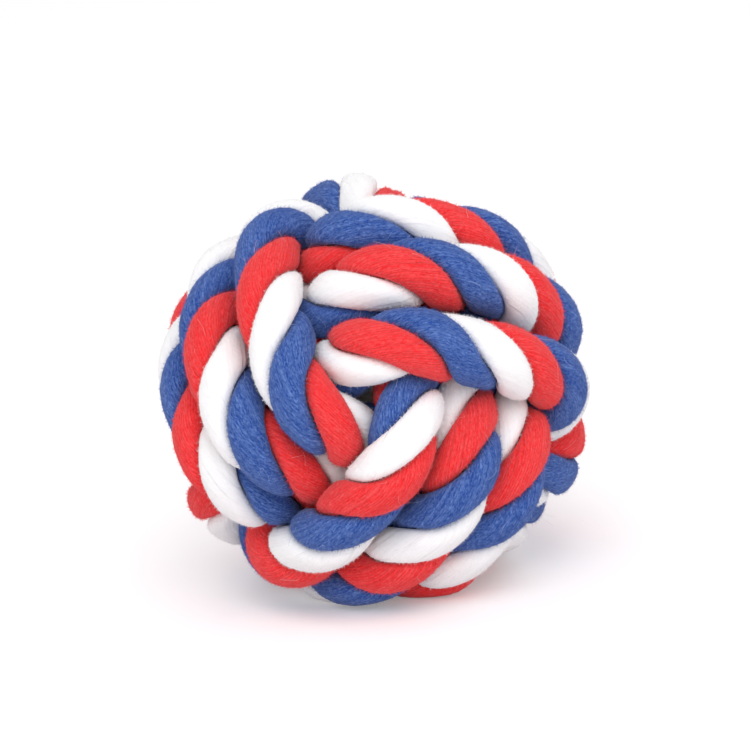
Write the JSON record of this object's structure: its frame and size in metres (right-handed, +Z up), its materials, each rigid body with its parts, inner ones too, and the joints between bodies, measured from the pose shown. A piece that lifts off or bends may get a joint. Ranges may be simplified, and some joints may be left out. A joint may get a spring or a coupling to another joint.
{
  "type": "rope ball dog toy",
  "caption": "Round ball of thick soft three-strand rope in red, white and blue, tied in interlocking bands that lie side by side over a padded middle.",
  "frame": {"origin": "centre of the ball's footprint, on the surface it lies on", "axes": "+Z up, +X to the right and -Y towards the viewer, who sees the corner where the three bands meet round a small hole"},
  "size_m": [0.0648, 0.0662, 0.0627],
  "materials": {
    "blue_cotton": "soft brushed cotton yarn, dyed blue, matt with short fuzz",
    "white_cotton": "soft brushed cotton yarn, bleached white, matt with short fuzz",
    "red_cotton": "soft brushed cotton yarn, dyed red, matt with short fuzz",
    "wad_cotton": "loose undyed cotton waste, matt"
  },
  "bodies": {
    "root": {"blue_strand": "blue_cotton", "white_strand": "white_cotton", "red_strand": "red_cotton", "cotton_wad": "wad_cotton"}
  },
  "joints": []
}
